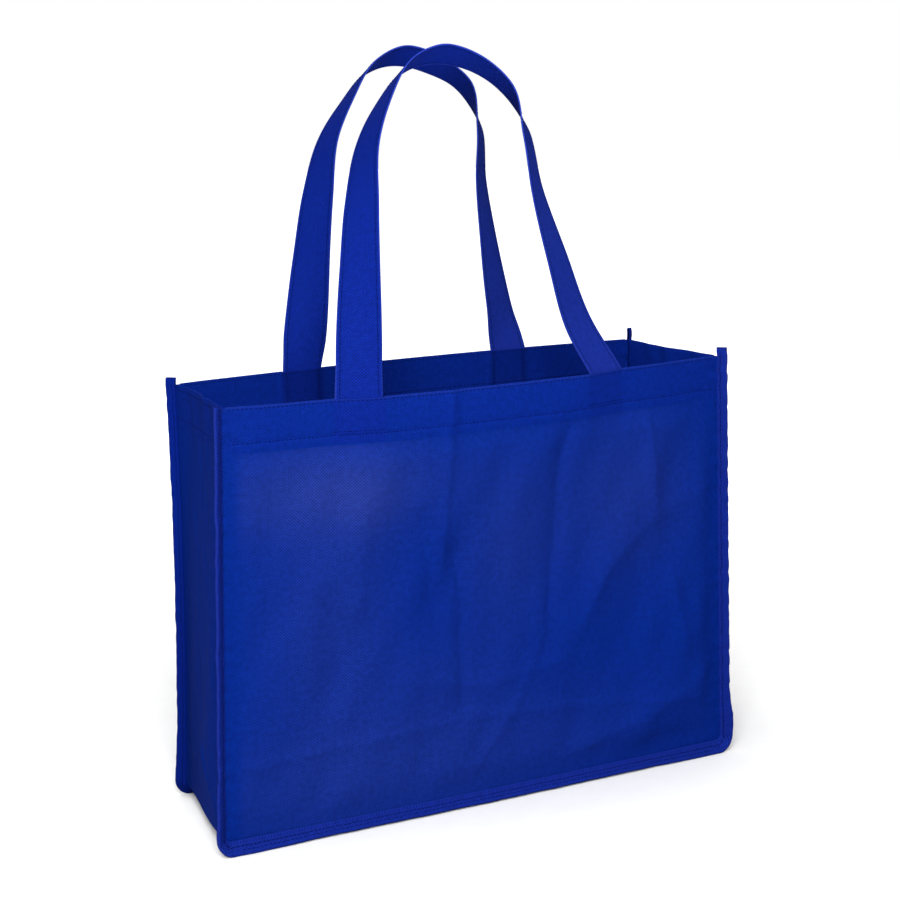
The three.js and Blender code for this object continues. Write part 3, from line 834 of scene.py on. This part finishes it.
def gusset():
    bend = DEEP - math.sqrt(2) * PLY_OFFSET
    laps = FLANGE * np.array([0.1, 0.3, 0.5, 0.75, 1.0])
    q = np.concatenate([-bend - laps[::-1], np.linspace(-bend, bend, 46), bend + laps])
    s = stations(PLY_OFFSET + CLOTH / 2, SEAM_LENGTH - PLY_OFFSET - CLOTH / 2)
    left, right = side_hem(q, -1)[::-1], side_hem(q, 1)
    rows = np.concatenate([left, strip_points(q, s, bend), right])
    under = np.linspace(0.2, HEM_DEPTH + 1, len(left))
    length = np.concatenate([s[0] - under[::-1], s, s[-1] + under])
    uv = np.stack(np.meshgrid(q, length), -1)
    doubled = (np.minimum(length, SEAM_LENGTH - length) < HEM_DEPTH)[:, None]
    plies = 1.0 + doubled + 2.0 * (np.abs(q) > bend + 0.5)[None]
    # Painted shade at the seam roots, and darker toward the back and the foot.
    root = 0.45 * np.exp(-((np.abs(q) - bend) / 2.0) ** 2)[None]
    low_back_shade = 0.5 * smooth(q, -25, bend)[None] * (1 - smooth(rows[:, :1, 2], 20, 250))
    marks = {"plies": plies, "press_and_shade": np.maximum(root + 0 * plies, low_back_shade), "painted_sheen": 0 * plies}
    cells = np.ones((len(rows) - 1, len(q) - 1), dtype=bool)
    for band in (slice(0, len(left)), slice(len(left) + len(s) - 1, None)):
        cells[band, :len(laps) + 1] = False
        cells[band, -len(laps) - 1:] = False
    obj = sheet("gusset_cloth", rows, uv, marks, CLOTH_BLUE, cells)
    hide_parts("gusset")
    return obj


gusset_cloth = gusset()
print("gusset:", len(gusset_cloth.data.polygons), "faces")

# %% [markdown]
# ## Seam tape
#
# A narrow strip is folded over the raw edges of each long seam and sewn through all the
# layers. It runs a little past the hem, which leaves the small ears at the top corners.
# tape_points() places a point by its distance along the seam, how far out on the fin it is
# (along) and how far from the fin's middle (aside). The stitches use it too.

# %%
def tape_points(s, along, aside, facing):
    x, z, out_x, out_z = seam(s)
    reach = along + deeper(out_z) * np.clip(along / TAPE_START - 1, 0, 1)
    outward, forward = (reach + aside) / math.sqrt(2), (reach - aside) / math.sqrt(2)
    return settle(np.stack([x + out_x * outward, facing * (DEEP + forward), z + out_z * outward], -1))


def tape_marks(along, strip, s, facing):
    """Painted highlight along its folded edge, the front one a little paler as painted light, pressed along its
    stitches, the back one darker at its foot as painted shade.
    """
    spine = np.abs(strip - strip[-1] / 2)[None] + 0 * s[:, None]
    # Painted highlight along the fold, and the whole front tape paler as painted light.
    painted_sheen = np.maximum(0.6 * np.exp(-(spine / 0.7) ** 2), 0.22 * (facing < 0))
    # Painted shade: the back tape is darker toward its foot.
    low_back_shade = 0.35 * (facing > 0) * (1 - smooth(seam(s)[1], 30, 240))[:, None]
    press_and_shade = 0.2 * np.exp(-((along - FIRST_ROW) / 0.5) ** 2)[None] + low_back_shade
    return {"plies": 4 + 0 * spine, "painted_sheen": painted_sheen, "press_and_shade": press_and_shade}


def tape(name, facing):
    flat = np.linspace(TAPE_START, FOLD_CENTRE, 18)
    angles = np.linspace(0, math.pi, 9)[1:-1]
    along = np.concatenate([flat, FOLD_CENTRE + TAPE_OFFSET * np.sin(angles), flat[::-1]])
    offset = TAPE_OFFSET - 0.15 * np.exp(-((flat - FIRST_ROW) / 0.6) ** 2)
    aside = np.concatenate([-offset, -TAPE_OFFSET * np.cos(angles), offset[::-1]])
    s = stations(-EARS[facing][0], SEAM_LENGTH + EARS[facing][1])
    strip = np.concatenate([[0], np.cumsum(np.hypot(np.diff(along), np.diff(aside)))])
    points = tape_points(s[:, None], along[None], aside[None], facing)
    uv = np.stack(np.meshgrid(strip, s), -1)
    obj = sheet(name, points, uv, tape_marks(along, strip, s, facing), TAPE_BLUE)
    return obj


front_tape = tape("front_tape", -1)
back_tape = tape("back_tape", 1)
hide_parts("front_binding")
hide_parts("back_binding")
print("tapes:", len(front_tape.data.polygons), "and", len(back_tape.data.polygons), "faces")

# %% [markdown]
# ## The way of the handles
#
# A handle is a strip folded in half along its length, with both edges sewn. Each ends flat
# inside a hem. Between, it rises, turns edge-on at both shoulders and arches over, so that
# its underside shows at the top. A smooth curve goes through a few stops along it. Each stop
# is x, y from the hem, height over the hem, and how far the strap has turned about its own
# length, in degrees: at 90 its width lies across the bag, at 0 it lies from front to back.

# %%
ROUTES = {
    -1: [(-103, 0, 0, 90), (-95.4, 2.1, 38.8, 56), (-88.5, 13.5, 82.3, 36), (-80.8, 25, 125.8, 23),
         (-70.8, 36, 165.3, 4), (-52.8, 46, 196, -9), (-30.7, 53.7, 219.8, -21), (-4.6, 54.8, 228.1, -25),
         (23.1, 49.2, 220.7, -10), (44.2, 41.4, 202, 6), (54.5, 34.7, 172.5, 37), (60.9, 29.6, 129.7, 42),
         (71.3, 19.8, 81.8, 55), (82, 8.7, 34.7, 65), (95, 0, 0, 67)],
    1: [(-97, 0, 0, 89), (-84.7, 11.1, 40.3, 56), (-75.7, 20.1, 83.3, 35), (-65.2, 30.2, 126.6, 23),
        (-52, 40.8, 165.8, 4), (-30.3, 51.2, 196.4, -8), (-6.4, 59.9, 221, -19), (21.1, 62.5, 230.2, -28),
        (49.5, 56.9, 222.1, -18), (70.8, 48.9, 205.3, -1), (78.2, 40.3, 174.7, 35), (76.3, 35, 133.3, 41),
        (77.3, 26.2, 88.4, 50), (79.3, 16.1, 43.5, 62), (85, 0, 0, 71)],
}


def through(stops, t):
    """A centripetal curve through the stops; t runs from 0 to the number of gaps between them."""
    p = np.concatenate([[2 * stops[0] - stops[1]], stops, [2 * stops[-1] - stops[-2]]])
    k = np.minimum(t.astype(int), len(stops) - 2)
    u = (t - k)[:, None]
    p0, p1, p2, p3 = p[k], p[k + 1], p[k + 2], p[k + 3]
    d0, d1, d2 = (np.sqrt(np.linalg.norm(b - a, axis=1))[:, None] for a, b in ((p0, p1), (p1, p2), (p2, p3)))
    m1 = ((p1 - p0) / d0 - (p2 - p0) / (d0 + d1) + (p2 - p1) / d1) * d1
    m2 = ((p2 - p1) / d1 - (p3 - p1) / (d1 + d2) + (p3 - p2) / d2) * d1
    return ((2 * u**3 - 3 * u**2 + 1) * p1 + (u**3 - 2 * u**2 + u) * m1
            + (3 * u**2 - 2 * u**3) * p2 + (u**3 - u**2) * m2)


def unit(v):
    return v / np.linalg.norm(v, axis=-1, keepdims=True)


def distance_along(points):
    return np.concatenate([[0], np.cumsum(np.linalg.norm(np.diff(points, axis=0), axis=1))])


# %% [markdown]
# ## The turn of the handles
#
# Each place along a handle needs three directions: along it, across it and square to its
# face. Where a strap leaves the hem it first bends along the hem's edge and not square to
# its own length, and its turn is softened, as cloth has no sudden twist.

# %%
SEWN_STEPS = 12
SEWN_HEIGHTS = np.linspace(HEIGHT - STRAP_OVERLAP, HEIGHT, SEWN_STEPS)
FREE_STEPS, FREE_START = 240, 0.08
LOOSE_AFTER = 30.0
SOFTENING = np.exp(-0.5 * (np.arange(-9, 10) / 3.0) ** 2)


def free_part(stops, turns):
    """The middle line between the hems, and the width direction that the turns give it."""
    t = np.linspace(FREE_START, len(stops) - 1 - FREE_START, FREE_STEPS)
    free = through(stops, t)
    turn = np.radians(np.interp(t, np.arange(len(stops)), turns))
    along = unit(np.gradient(free, axis=0))
    level = unit(np.array([0, 1.0, 0]) - along * along[:, 1:2])
    return free, level * np.cos(turn)[:, None] + np.cross(along, level) * np.sin(turn)[:, None]


def sewn_end(x, half, plane):
    """Middle and width direction of the end that is sewn inside the hem."""
    def at(w):
        return settle(np.stack([x + w + 0 * SEWN_HEIGHTS, plane + 0 * SEWN_HEIGHTS, SEWN_HEIGHTS], -1))
    return at(0), unit(at(half) - at(-half))


def softened(v):
    padded = np.pad(v, ((9, 9), (0, 0)), "edge")
    return np.stack([np.convolve(padded[:, k], SOFTENING / SOFTENING.sum(), "valid") for k in range(3)], -1)


def strap_track(facing):
    """Middle, width direction and face direction along a handle, from its left to its right end."""
    plane = facing * (DEEP - STRAP_PLANE)
    route = np.array(ROUTES[facing], dtype=float)
    stops = np.stack([route[:, 0], plane + route[:, 1], HEIGHT + route[:, 2]], -1)
    stops[[0, -1]] = settle(stops[[0, -1]])
    free, across = free_part(stops, route[:, 3])
    left, left_across = sewn_end(route[0, 0], -STRAP_WIDTH / 2, plane)
    right, right_across = sewn_end(route[-1, 0], STRAP_WIDTH / 2, plane)
    centre = np.concatenate([left, free, right[::-1]])
    across = np.concatenate([left_across, across, right_across[::-1]])
    length = distance_along(centre)
    from_hem = np.minimum(length, length[-1] - length) - STRAP_OVERLAP
    loose = smooth(from_hem, 0, LOOSE_AFTER)[:, None]
    hem_edge = np.where((length < length[-1] / 2)[:, None], left_across[-1], right_across[-1])
    across = unit(hem_edge * (1 - loose) + across * loose)
    off_hem = smooth(from_hem, -3, 6)[:, None]
    across = unit(across * (1 - off_hem) + softened(across) * off_hem)
    along = unit(np.gradient(centre, axis=0))
    skew = (along * across).sum(-1, keepdims=True)
    across = unit(across - along * skew * loose)
    # Where the strap leans along the hem's edge, its width there is a little longer
    stretch = 1 / np.maximum(np.linalg.norm(np.cross(along, across), axis=-1), 0.85)
    return centre, across * stretch[:, None], unit(np.cross(along, across))


TRACKS = {facing: strap_track(facing) for facing in (-1, 1)}
for facing, (centre, _, _) in TRACKS.items():
    print("front" if facing < 0 else "back", "handle:", round(distance_along(centre)[-1]), "mm long")

# %% [markdown]
# ## Handles
#
# strap_points() turns the track into places. The sewn ends follow the hem's soft shape over
# their whole width, because they are sewn to it, and the strap comes away from that shape
# over the first few centimetres.

# %%
LEAVING = 25.0


def strap_points(facing, along, w, h):
    """Points of a handle at a distance along it, w across it and h behind its middle surface."""
    along, w, h = np.broadcast_arrays(along, w, h)
    length = distance_along(TRACKS[facing][0])

    def strip_at(where):
        centre, across, face = (np.stack([np.interp(where, length, v[:, k]) for k in range(3)], -1)
                                for v in TRACKS[facing])
        return centre + across * w[..., None] - face * h[..., None]

    points = strip_at(along)
    for side, x in zip((-1, 1), STRAP_X[facing]):
        reach = along if side < 0 else length[-1] - along
        own = length[:SEWN_STEPS] if side < 0 else length[-1] - length[:-SEWN_STEPS - 1:-1]
        held = np.minimum(reach, own[-1])
        z = np.interp(held, own, SEWN_HEIGHTS)
        true = settle(np.stack([x + side * w, facing * (DEEP - STRAP_PLANE) + h, z], -1))
        share = (1 - smooth(reach - own[-1], 0, LEAVING)) * (reach < length[-1] / 2)
        points = points + (true - strip_at(held if side < 0 else length[-1] - held)) * share[..., None]
    return points


# %% [markdown]
# The strip's cross-section goes once round: along the upper layer, round the fold at one
# edge and back along the lower layer. Its edges carry a painted highlight, the part toward
# its right end a paler painted sheen, and its stitches are pressed in, with painted shade
# along them.

# %%
def strap_section():
    """Places across the strap (w, h) of the folded strip, from one raw edge to the other."""
    half = STRAP_WIDTH / 2
    fold = -half + PLY_OFFSET + CLOTH / 2
    angles = np.linspace(0, math.pi, FOLD_STEPS + 2)[1:-1]
    flat = np.concatenate([half - np.array([0, 0.5, 1.2, 2.4, 2.8, 3.2, 3.6]), np.linspace(half - 5, fold + 5, 9),
                           fold + np.array([3.2, 2.8, 2.4, 2.0, 1.0, 0.4, 0])])
    w = np.concatenate([flat, fold - PLY_OFFSET * np.sin(angles), flat[::-1]])
    h = np.concatenate([0 * flat - PLY_OFFSET, -PLY_OFFSET * np.cos(angles), 0 * flat + PLY_OFFSET])
    return w, h


def strap(name, facing):
    w, h = strap_section()
    length = distance_along(TRACKS[facing][0])
    points = strap_points(facing, length[:, None], w[None], h[None])
    strip = np.concatenate([[0], np.cumsum(np.hypot(np.diff(w), np.diff(h)))])
    uv = np.stack(np.meshgrid(strip, length), -1)
    edge = (STRAP_WIDTH / 2 - np.abs(w))[None] + 0 * length[:, None]
    # Painted sheen: the strap grows paler toward its right end.
    pale_sheen = 0.25 * smooth(length, length[-1] * 0.6, length[-1] * 0.75)[:, None]
    marks = {"plies": 2 + 0 * edge, "painted_sheen": np.maximum(0.7 * np.exp(-(edge / 0.6) ** 2), pale_sheen),
             "press_and_shade": 0.45 * np.exp(-((edge - EDGE_ROW) / 0.5) ** 2)}
    obj = sheet(name, points, uv, marks, STRAP_BLUE)
    return obj


front_strap = strap("front_strap", -1)
back_strap = strap("back_strap", 1)
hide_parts("front_handle")
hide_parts("back_handle")
print("straps:", len(front_strap.data.polygons), "faces each")

# %% [markdown]
# ## Stitches
#
# A row of stitches is a row of short thread dashes. One dash is a small rounded bar. Each
# row is a function that takes the distance along the row, sideways and up from the cloth,
# and gives the place, so the dashes bend with whatever they are sewn to.

# %%
THREAD_RADIUS = 0.2
STITCH, STITCH_GAP = 2.3, 0.8
DASH_SIDES = 6


def dash():
    """One stitch as points (along, aside, up) and the faces between them."""
    sections = [(-0.5, 0.0), (-0.47, 0.6), (-0.36, 1.0), (0.36, 1.0), (0.47, 0.6), (0.5, 0.0)]
    angles = np.arange(DASH_SIDES) * 2 * math.pi / DASH_SIDES
    points = []
    for along, size in sections:
        lift = (-0.5 if size < 1 else 0.25) * THREAD_RADIUS
        for t in angles:
            points.append((along * STITCH, 1.3 * size * THREAD_RADIUS * math.cos(t),
                           lift + size * THREAD_RADIUS * math.sin(t)))
    faces = [(DASH_SIDES * r + k, DASH_SIDES * r + (k + 1) % DASH_SIDES,
              DASH_SIDES * (r + 1) + (k + 1) % DASH_SIDES, DASH_SIDES * (r + 1) + k)
             for r in range(len(sections) - 1) for k in range(DASH_SIDES)]
    return np.array(points), np.array(faces)


def stitches(name, rows):
    """rows holds (start, end, place), where place(along, aside, up) gives points."""
    bar, faces = dash()
    points, joined, count = [], [], 0
    for start, end, place in rows:
        number = max(1, int((end - start) / (STITCH + STITCH_GAP)))
        centres = np.linspace(start, end, number + 1)[:-1] + (STITCH + STITCH_GAP) / 2
        made = place(centres[:, None] + bar[None, :, 0], bar[None, :, 1], bar[None, :, 2])
        points.append(made.reshape(-1, 3))
        joined.append((faces[None] + (count + np.arange(number) * len(bar))[:, None, None]).reshape(-1, 4))
        count += number * len(bar)
    obj = object_from(name, np.concatenate(points), np.concatenate(joined), THREAD, sharp=180)
    print(name + ":", len(rows), "rows,", count // len(bar), "stitches")
    return obj


# %% [markdown]
# The hems are sewn twice along their whole length, once near the foot and once near the
# fold. Over each strap end one more short row and two upright rows hold the strap.

# %%
def level_row(facing, z, outside=True):
    def place(along, aside, up):
        along, aside, up = np.broadcast_arrays(along, aside, up)
        inner = DEEP - 2 * PLY_OFFSET - STRAP_ROOM * over_straps(along, facing) - CLOTH / 2 - up
        depth = DEEP + CLOTH / 2 + up if outside else inner
        return settle(np.stack([along, facing * depth, z + aside], -1))
    return place


def upright_row(facing, x):
    def place(along, aside, up):
        along, aside, up = np.broadcast_arrays(along, aside, up)
        depth = DEEP - 2 * PLY_OFFSET - STRAP_ROOM - CLOTH / 2 - up
        return settle(np.stack([x + aside, facing * depth, along], -1))
    return place


def side_row(side, z):
    def place(along, aside, up):
        along, aside, up = np.broadcast_arrays(along, aside, up)
        return settle(np.stack([side * (HALF + CLOTH / 2 + up), along, z + aside], -1))
    return place


ROW_END, PAST_STRAP = 4.0, 2.0
UPRIGHT_START, UPRIGHT_END = HEM_FOOT + 5, HEIGHT - 3
hem_rows = []
for facing in (-1, 1):
    for z in (HEIGHT - HEM_ROW, HEIGHT - TOP_ROW):
        for outside in (True, False):
            hem_rows.append((-HALF + ROW_END, HALF - ROW_END, level_row(facing, z, outside)))
    for strap_x in STRAP_X[facing]:
        start, end = strap_x - STRAP_WIDTH / 2, strap_x + STRAP_WIDTH / 2
        for outside in (True, False):
            hem_rows.append((start - PAST_STRAP, end + PAST_STRAP,
                             level_row(facing, HEIGHT - STRAP_END_ROW, outside)))
        for x in (start + EDGE_ROW, end - EDGE_ROW):
            hem_rows.append((UPRIGHT_START, UPRIGHT_END, upright_row(facing, x)))
for side in (-1, 1):
    for z in (HEIGHT - HEM_ROW, HEIGHT - SIDE_TOP_ROW):
        hem_rows.append((-DEEP + ROW_END, DEEP - ROW_END, side_row(side, z)))
hem_stitches = stitches("hem_stitches", hem_rows)

# %% [markdown]
# The fins are sewn through tape and laps, with a second row along the bottom. The straps
# have a row along each edge, on both faces, from hem to hem.

# %%
def fin_row(facing, reach, face):
    def place(along, aside, up):
        along, aside, up = np.broadcast_arrays(along, aside, up)
        return tape_points(along, reach + aside, face * (TAPE_OFFSET + CLOTH / 2 + up), facing)
    return place


def strap_row(facing, offset, face):
    def place(along, aside, up):
        return strap_points(facing, along, offset + aside, -face * (PLY_OFFSET + CLOTH / 2 + up))
    return place


PAST_CORNER = 12.0
seam_rows, strap_rows = [], []
for facing in (-1, 1):
    for face in (-1, 1):
        seam_rows.append((0.0, SEAM_LENGTH, fin_row(facing, FIRST_ROW, face)))
        seam_rows.append((DOWN + PAST_CORNER, SEAM_LENGTH - DOWN - PAST_CORNER,
                          fin_row(facing, SECOND_ROW, face)))
    strap_end = distance_along(TRACKS[facing][0])[-1] - STRAP_OVERLAP - 1
    for offset in (-STRAP_WIDTH / 2 + EDGE_ROW, STRAP_WIDTH / 2 - EDGE_ROW):
        for face in (-1, 1):
            strap_rows.append((STRAP_OVERLAP + 1, strap_end, strap_row(facing, offset, face)))
seam_stitches = stitches("seam_stitches", seam_rows)
strap_stitches = stitches("strap_stitches", strap_rows)

# %% [markdown]
# ## The floor
#
# A pale floor that turns into the white of the background. To the camera it glows a little
# away from the bag, so no horizon shows. For the light that it sends back to the bag it is
# greyer, because the bag's sides and foot would else be too bright.

# %%
def make_floor():
    bpy.ops.mesh.primitive_circle_add(vertices=96, radius=12, fill_type="NGON", location=(0, 0, 0))
    floor = bpy.context.object
    floor.name = "floor"
    material = bpy.data.materials.new("floor_paper")
    material.use_nodes = True
    tree = material.node_tree
    shader = tree.nodes["Principled BSDF"]
    shader.inputs["Roughness"].default_value = 0.9
    shader.inputs["Specular IOR Level"].default_value = 0.1
    shader.inputs["Emission Color"].default_value = (1, 1, 1, 1)
    place = node(tree, "ShaderNodeTexCoord")
    away = node(tree, "ShaderNodeVectorMath", {"operation": "LENGTH"}, i0=place.outputs["Object"])
    grain = node(tree, "ShaderNodeTexNoise", Vector=place.outputs["Object"], Scale=60.0, Detail=3.0)
    pale = node(tree, "ShaderNodeMapRange", i0=grain.outputs[0], i3=0.74, i4=0.78)
    glow = node(tree, "ShaderNodeMapRange", {"interpolation_type": "SMOOTHSTEP"}, i0=away.outputs["Value"],
                i1=0.15, i2=1.1, i3=0.0, i4=0.9)
    seen = node(tree, "ShaderNodeLightPath").outputs["Is Camera Ray"]
    tree.links.new(maths(tree, "MULTIPLY", glow.outputs[0], seen), shader.inputs["Emission Strength"])
    tone = node(tree, "ShaderNodeMix", i0=seen, i2=0.45, i3=pale.outputs[0])
    tree.links.new(tone.outputs[0], shader.inputs["Base Color"])
    floor.data.materials.append(material)
    return floor


print("stage:", make_floor().name)

# %% [markdown]
# ## Light
#
# The main light comes from the front left and above, so the front is bright, the side is in
# half shade and the inside stays dark. A wide light above softens the shadows, and a weak,
# narrow one from low down lifts the underside of the arches. The white surroundings are
# dimmer as a light than they look to the camera.

# %%
def make_light(name, place, target, size, power, spread=180):
    data = bpy.data.lights.new(name, "AREA")
    data.shape = "DISK"
    data.size = size
    data.energy = power
    data.spread = math.radians(spread)
    light = bpy.data.objects.new(name, data)
    light.location = place
    light.rotation_euler = (Vector(target) - Vector(place)).to_track_quat("-Z", "Y").to_euler()
    scene.collection.objects.link(light)


def make_world():
    world = bpy.data.worlds.new("studio")
    world.use_nodes = True
    tree = world.node_tree
    background = tree.nodes["Background"]
    background.inputs["Color"].default_value = (1, 1, 1, 1)
    seen = node(tree, "ShaderNodeLightPath")
    strength = node(tree, "ShaderNodeMapRange", i0=seen.outputs["Is Camera Ray"], i3=0.62, i4=1.0)
    tree.links.new(strength.outputs[0], background.inputs["Strength"])
    scene.world = world


make_world()
make_light("key", (-0.62, -1.24, 1.06), (0, 0, 0.27), 0.9, 37)
make_light("fill", (-0.15, -1.0, 0.06), (0, 0, 0.58), 0.3, 0.6, 26)
make_light("top", (-0.5, 0.1, 2.6), (0, 0, 0.3), 1.6, 22)
scene.view_settings.view_transform = "Standard"
print("lights:", [light.name for light in bpy.data.lights])
